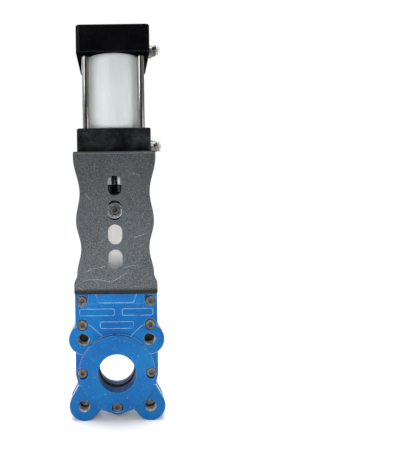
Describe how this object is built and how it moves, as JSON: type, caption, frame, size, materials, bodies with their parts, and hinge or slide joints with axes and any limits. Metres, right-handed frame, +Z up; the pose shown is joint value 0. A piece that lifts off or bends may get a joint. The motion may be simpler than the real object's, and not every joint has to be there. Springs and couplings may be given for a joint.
{
  "type": "knife gate valve",
  "caption": "Lug-type knife gate valve with a blade gate in a two-part body, a folded plate yoke and a double-acting air cylinder.",
  "frame": {"origin": "centre of the bore, half way between the two flange faces", "axes": "+Z up along the gate's travel towards the cylinder, +Y along the pipe towards the rear face, +X to the right seen from the front, the side of the air ports"},
  "size_m": [0.1284, 0.1366, 0.52],
  "materials": {
    "blue_paint": "glossy blue paint on cast iron, with chips and runs",
    "yoke_paint": "dark grey satin powder coat with a fine speckle and scratches",
    "black_aluminium": "black anodised, half gloss, a little dusty",
    "satin_aluminium": "satin anodised",
    "gate_stainless": "ground stainless plate",
    "screw_stainless": "bright stainless",
    "zinc_steel": "zinc plated",
    "black_steel": "black oxide",
    "black_rod": "polished black",
    "hard_chrome": "hard chrome, ground and polished",
    "nickel_brass": "nickel plated, brass showing at the edges",
    "bronze": "sintered bronze",
    "rubber": "black rubber",
    "packing": "braided packing",
    "grey_plastic": "pale grey plastic"
  },
  "bodies": {
    "valve": {"air_fitting_cap": "nickel_brass", "air_fitting_head": "nickel_brass", "body_front": "blue_paint", "body_gasket": "rubber", "body_rear": "blue_paint", "body_screw_1": "screw_stainless", "body_screw_2": "screw_stainless", "body_screw_3": "screw_stainless", "body_screw_4": "screw_stainless", "body_screw_5": "screw_stainless", "body_screw_6": "screw_stainless", "body_screw_7": "screw_stainless", "cylinder_front_head": "black_aluminium", "cylinder_rear_cap": "black_aluminium", "cylinder_screw_1": "zinc_steel", "cylinder_screw_2": "zinc_steel", "cylinder_screw_3": "zinc_steel", "cylinder_screw_4": "zinc_steel", "cylinder_tube": "satin_aluminium", "foot_screw_1": "black_steel", "foot_screw_2": "black_steel", "foot_screw_3": "black_steel", "foot_screw_4": "black_steel", "gland_follower": "blue_paint", "gland_nut_1": "zinc_steel", "gland_nut_2": "zinc_steel", "gland_nut_3": "zinc_steel", "gland_nut_4": "zinc_steel", "gland_stud_1": "zinc_steel", "gland_stud_2": "zinc_steel", "gland_stud_3": "zinc_steel", "gland_stud_4": "zinc_steel", "packing_ring_lower": "packing", "packing_ring_middle": "packing", "packing_ring_upper": "packing", "rod_bush": "bronze", "rod_seal": "rubber", "seat_ring_front": "rubber", "seat_ring_rear": "rubber", "tie_rod_1": "zinc_steel", "tie_rod_2": "zinc_steel", "tie_rod_3": "zinc_steel", "tie_rod_4": "zinc_steel", "yoke": "yoke_paint"},
    "gate_train": {"gate": "gate_stainless", "clevis": "black_steel", "clevis_pin": "screw_stainless", "clevis_pin_nut": "zinc_steel", "pin_washer_front": "screw_stainless", "pin_washer_rear": "screw_stainless", "rod_lock_nut": "black_rod", "piston_rod": "hard_chrome", "piston": "satin_aluminium", "piston_seal": "rubber", "piston_nut": "zinc_steel"},
    "collar_cap": {"release_collar_cap": "grey_plastic"},
    "collar_head": {"release_collar_head": "grey_plastic"},
    "needle_cap": {"cushion_needle_cap": "nickel_brass"},
    "needle_head": {"cushion_needle_head": "nickel_brass"}
  },
  "joints": [
    {"name": "gate_slide", "type": "slide", "parent": "valve", "child": "gate_train", "axis": [0, 0, -1], "range_m": [0, 0.058]},
    {"name": "collar_cap_press", "type": "slide", "parent": "valve", "child": "collar_cap", "axis": [-1, 0, 0], "range_m": [0, 0.0015], "stiffness_N_per_m": 2000},
    {"name": "collar_head_press", "type": "slide", "parent": "valve", "child": "collar_head", "axis": [-1, 0, 0], "range_m": [0, 0.0015], "stiffness_N_per_m": 2000},
    {"name": "needle_cap_turn", "type": "hinge", "parent": "valve", "child": "needle_cap", "pos_m": [0.0478, 0.011, 0.4315], "axis": [1, 0, 0], "range_deg": [-450, 450]},
    {"name": "needle_head_turn", "type": "hinge", "parent": "valve", "child": "needle_head", "pos_m": [0.0478, 0.011, 0.313], "axis": [1, 0, 0], "range_deg": [-450, 450]}
  ]
}
